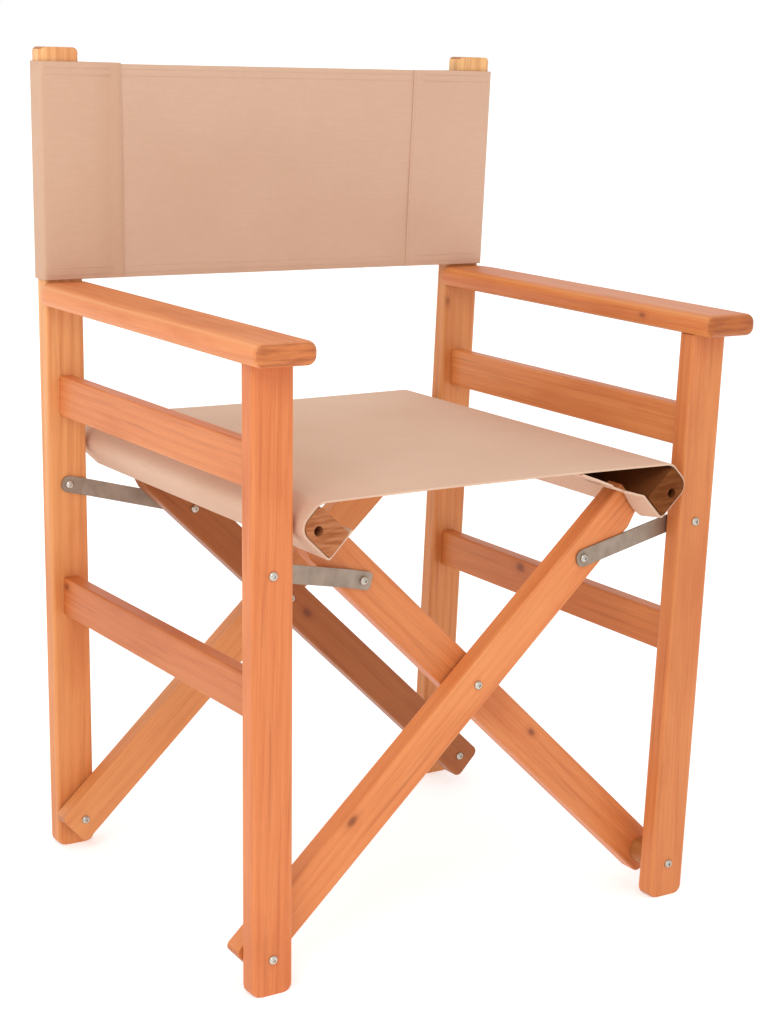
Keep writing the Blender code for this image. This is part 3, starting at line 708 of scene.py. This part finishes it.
def seat_point(point, side, y):
    """A point of the seat at depth y: bowed in at the front, hanging a little, and slack beside the bar."""
    x, z = point
    across = abs(x) / (205 * MM)
    if z > SEAT_LEVEL and across < 1:
        bow = SEAT_BOW * (1 - across**2)
        front_share = max(0.0, 1 - (y - SEAT_FRONT) / (80 * MM))
        z -= 1.5 * MM * (1 - across**2) * (0.6 + 0.4 * math.sin(y * 9 + x * 5))
        return Vector((side * x, y + CHAIR_Y + bow * front_share, z))
    from_end = min(y - SEAT_FRONT, SEAT_REAR - y)
    if side > 0 and y < -RIGHT_FLAP and NOTCH_OUTER[0] - 1 * MM < x < RAIL_CORNER[0]:
        share = FLAP_SLANT * from_end / FLAP_LENGTH
        x += (RAIL_CORNER[0] - x) * share
        z += (RAIL_CORNER[1] - z) * share
    if side > 0 and z < 449 * MM and x < 201 * MM:
        slack = max(0.0, min(1.0, from_end / FLAP_LOOSE)) if from_end < 30 * MM else 0.0
        share = max(0.0, min(1.0, (z - 421 * MM) / (27 * MM)))
        z -= FLAP_SAG * slack * math.sin(math.pi * (0.12 + 0.8 * share))
        x -= FLAP_PULL * slack
    return Vector((side * x, y + CHAIR_Y, z))


def lower_layer_missing(x, y):
    """Where the lower layer is cut away, because the bars come up to the rails there."""
    depth = abs(y)
    if x > 0:
        inner = NOTCH_INNER[0] if y < 0 else 0
        outer = NOTCH_OUTER[0] if y < 0 else RAIL_CORNER[0] - 2 * MM
        return depth > RIGHT_CUT and inner < x < (outer if depth > RIGHT_FLAP else UNDER_RIGHT_RAIL)
    if x > -LEFT_RAIL_FACE:
        return depth > LEFT_CUT
    return LEFT_BAR[0] < depth < LEFT_BAR[1]


def make_seat(material):
    stations = [SEAT_FRONT, SEAT_FRONT + 3 * MM, SEAT_FRONT + 10 * MM, SEAT_FRONT + 19 * MM]
    stations += [-209 * MM, -200 * MM, -191 * MM, -182 * MM, -170 * MM, -156 * MM]
    stations += [(-156 + 12 * i) * MM for i in range(1, 26)]
    stations += [156 * MM, 170 * MM, 182 * MM, 191 * MM, 200 * MM, 209 * MM]
    stations += [SEAT_REAR - 26 * MM, SEAT_REAR - 16 * MM, SEAT_REAR - 5 * MM, SEAT_REAR]
    left_half, left_lowest = seat_half(18 * MM)
    right_half, right_lowest = seat_half(13 * MM)
    rows = []
    for y in stations:
        left = [seat_point(p, -1, y) for p in left_half]
        right = [seat_point(p, 1, y) for p in right_half]
        rows.append(left + list(reversed(right))[1:])
    cells = len(rows[0]) - 1

    def missing(r, c):
        corners = (rows[r][c], rows[r][c + 1], rows[r + 1][c], rows[r + 1][c + 1])
        middle = sum(corners, Vector()) / 4
        below = c < left_lowest or c >= cells - right_lowest
        return below and lower_layer_missing(middle.x, middle.y - CHAIR_Y)

    seat = cloth("seat_canvas", rows, material, SEAT_THICKNESS, missing)
    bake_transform(seat)
    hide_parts("seat_cloth")
    declare_sheet(rows, missing)


def declare_sheet(rows, missing=nothing_missing):
    """Works out the cloth's flat width, length and area, measured along its own surface, and keeps none of
    them.
    """
    middle = rows[len(rows) // 2]
    width = sum((b - a).length for a, b in zip(middle, middle[1:]))
    column = [row[len(row) // 2] for row in rows]
    length = sum((b - a).length for a, b in zip(column, column[1:]))
    area = 0.0
    for r in range(len(rows) - 1):
        for c in range(len(rows[0]) - 1):
            if not missing(r, c):
                a, b, d, e = rows[r][c], rows[r][c + 1], rows[r + 1][c], rows[r + 1][c + 1]
                area += ((b - a).cross(d - a).length + (b - e).cross(d - e).length) / 2
    area = min(area, width * length)


# ---------------------------------------------------------------- back canvas


def lean_at(z):
    """How much further out than at the datum height a side frame is."""
    return SPLAY * (z - SPLAY_DATUM)


def level_rows(path_at, levels):
    return [[Vector((x, y + CHAIR_Y, z)) for x, y in path_at(z)] for z in levels]


def back_levels():
    count = 20
    step = (BACK_TOP - BACK_BOTTOM) / count
    return [BACK_BOTTOM + step * i for i in range(count + 1)]


def ripple(x, z):
    """How far the back's front layer stands out of flat."""
    return 0.5 * MM * math.sin(x * 31 + z * 9) * math.sin(z * 22 + x * 7)


def sleeve_path(side, seam):
    """A sleeve seen from above: from the seam round the post, and back to the seam behind the front layer."""

    def at(z):
        lean = lean_at(z)
        grow = POST_GAP + CLOTH / 2
        inner, outer, rear = POST_INNER - grow + lean, POST_OUTER + grow + lean, POST_REAR + grow
        start = seam + lean
        path = [
            (start, FRONT_LAYER + 0.4 * MM),
            (start + 14 * MM, FRONT_LAYER + 0.9 * MM),
            (inner + 3 * MM, FRONT_LAYER),
            (outer, FRONT_LAYER),
            (outer, rear),
            (inner + 2 * MM, rear),
            (inner - 6 * MM, rear - 4 * MM),
            (start + 5 * MM, FRONT_LAYER + 2 * CLOTH + 0.8 * MM),
            (start + 0.5 * MM, FRONT_LAYER + 2 * CLOTH + 0.7 * MM),
        ]
        radii = [radius * MM for radius in (0, 20, 20, 2.6, 2.6, 5, 8, 3, 0)]
        points = rounded([Vector(p) for p in path], radii, 4)
        return [(side * p.x, p.y) for p in resampled(points, 8 * MM)]

    return at


def panel_path(left, right):
    """The front layer between the seams, which reaches in behind both sleeves' front layers."""

    def at(z):
        low, high = -(left + lean_at(z)), right + lean_at(z)
        count = 48
        points = []
        for i in range(count + 1):
            x = low + (high - low) * i / count
            points.append((x, FRONT_LAYER + CLOTH + LAYER_GAP + ripple(x, z)))
        return points

    return at


def hem_line(level):
    """A line across the front of the back's front layer, from seam to seam."""
    low, high = -(LEFT_SEAM + lean_at(level)) + 1 * MM, RIGHT_SEAM + lean_at(level) - 1 * MM
    count = 60
    line = []
    for i in range(count + 1):
        x = low + (high - low) * i / count
        y = FRONT_LAYER + CLOTH / 2 + LAYER_GAP + ripple(x, level)
        line.append(Vector((x, y + CHAIR_Y, level)))
    return line


def make_front_layer(levels, material, thread):
    rows = level_rows(panel_path(LEFT_SEAM + UNDERLAP_LEFT, RIGHT_SEAM + UNDERLAP_RIGHT), levels)
    panel = cloth("back_canvas", rows, material, CLOTH)
    pieces = [panel]
    for height in HEM_ROWS:
        for level in (BACK_TOP - height, BACK_BOTTOM + height):
            pieces.append(stitches(f"hem_stitches_{len(pieces) - 1}", hem_line(level), thread))
    for piece in pieces:
        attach(piece, "left_frame")
        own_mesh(piece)
    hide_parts("back_cloth")
    declare_sheet(rows)


def make_sleeve(side, seam, levels, material, thread):
    name = "left" if side < 0 else "right"
    rows = level_rows(sleeve_path(side, seam), levels)
    sleeve = cloth(name + "_sleeve", rows, material, CLOTH)
    line = []
    for level in (BACK_BOTTOM + 2 * MM, BACK_TOP - 2 * MM):
        x = seam + lean_at(level) + SEAM_INSET
        line.append(Vector((side * x, FRONT_LAYER + 0.5 * MM - CLOTH / 2 + CHAIR_Y, level)))
    pieces = [sleeve, stitches(name + "_seam_stitches", line, thread)]
    for number, height in enumerate(HEM_ROWS):
        for place, level in (("top", BACK_TOP - height), ("bottom", BACK_BOTTOM + height)):
            ends = (seam + lean_at(level) + 12 * MM, POST_OUTER + lean_at(level) - 2 * MM)
            line = [Vector((side * x, FRONT_LAYER - CLOTH / 2 + CHAIR_Y, level)) for x in ends]
            pieces.append(stitches(f"{name}_{place}_stitches_{number}", line, thread))
    for piece in pieces:
        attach(piece, name + "_frame")
    declare_sheet(rows)


def make_back(material, left_material, thread):
    levels = back_levels()
    make_front_layer(levels, material, thread)
    raised = levels[:-1] + [BACK_TOP + LEFT_SLEEVE_RISE]
    make_sleeve(-1, LEFT_SEAM, raised, left_material, thread)
    make_sleeve(1, RIGHT_SEAM, levels, material, thread)


# ---------------------------------------------------------------- set and camera

FLOOR_REACH = 60.0  # metres, so that its edge is out of sight


def make_floor():
    mesh = bmesh.new()
    corners = ((-1, -1), (1, -1), (1, 1), (-1, 1))
    mesh.faces.new([mesh.verts.new((x * FLOOR_REACH, y * FLOOR_REACH, 0)) for x, y in corners])
    build = Nodes("white_floor")
    place = build.add("ShaderNodeTexCoord").outputs["Object"]
    noise = build.add("ShaderNodeTexNoise", Vector=place, Scale=30.0).outputs["Fac"]
    shade = build.mix(noise, (0.78, 0.78, 0.78, 1), (0.8, 0.8, 0.8, 1))
    build.feed(build.shader.inputs["Base Color"], shade)
    build.shader.inputs["Roughness"].default_value = 0.95
    build.shader.inputs["Specular IOR Level"].default_value = 0.0
    build.shader.inputs["Emission Color"].default_value = (1, 1, 1, 1)
    build.shader.inputs["Emission Strength"].default_value = 0.45
    floor = object_of("floor", mesh, build.material, smooth=False)


def make_world():
    world = bpy.data.worlds.new("studio")
    scene = bpy.context.scene
    scene.world = world
    scene.view_settings.view_transform = "Standard"
    world.use_nodes = True
    back = world.node_tree.nodes["Background"]
    back.inputs["Color"].default_value = (1, 1, 1, 1)
    back.inputs["Strength"].default_value = 1.0


def soft_light(name, place, target, size, power):
    light = bpy.data.lights.new(name, "AREA")
    light.shape = "RECTANGLE"
    light.size, light.size_y = size
    light.energy = power
    lamp = bpy.data.objects.new(name, light)
    bpy.context.scene.collection.objects.link(lamp)
    lamp.location = place
    lamp.rotation_euler = (Vector(target) - Vector(place)).to_track_quat("-Z", "Y").to_euler()


CAMERA_PLACE = (-1.1769, -1.8060, 0.8915)
CAMERA_RIGHT = (0.83737, -0.54581, 0.03015)
CAMERA_FORWARD = (0.53804, 0.81320, -0.22185)
CAMERA_LENS = 73.565  # millimetres, on a sensor 36 wide


def make_camera():
    camera = bpy.data.cameras.new("camera")
    camera.sensor_fit = "AUTO"
    camera.sensor_width = 36
    camera.lens = CAMERA_LENS
    holder = bpy.data.objects.new("camera", camera)
    bpy.context.scene.collection.objects.link(holder)
    right = Vector(CAMERA_RIGHT).normalized()
    forward = Vector(CAMERA_FORWARD).normalized()
    up = right.cross(forward).normalized()
    turn = Matrix((right, up, -forward)).transposed().to_4x4()
    holder.matrix_world = Matrix.Translation(CAMERA_PLACE) @ turn
    bpy.context.scene.camera = holder


dress_wood()
dress_metal()
CANVAS = canvas("canvas_seat", "Y", "X", (218, 184, 159))
BACK_CANVAS = canvas("canvas_back", "X", "Z", (211, 176, 152))
SLEEVE_CANVAS = canvas("canvas_left_sleeve", "X", "Z", (210, 173, 147), SHADED_BAND)
THREAD = plain_thread("thread", (212, 178, 154))
make_seat(CANVAS)
make_back(BACK_CANVAS, SLEEVE_CANVAS, THREAD)
make_floor()
make_world()
soft_light("key", (-2.6, -2.2, 2.8), (0, 0, 0.5), (1.6, 1.6), 34)
make_camera()
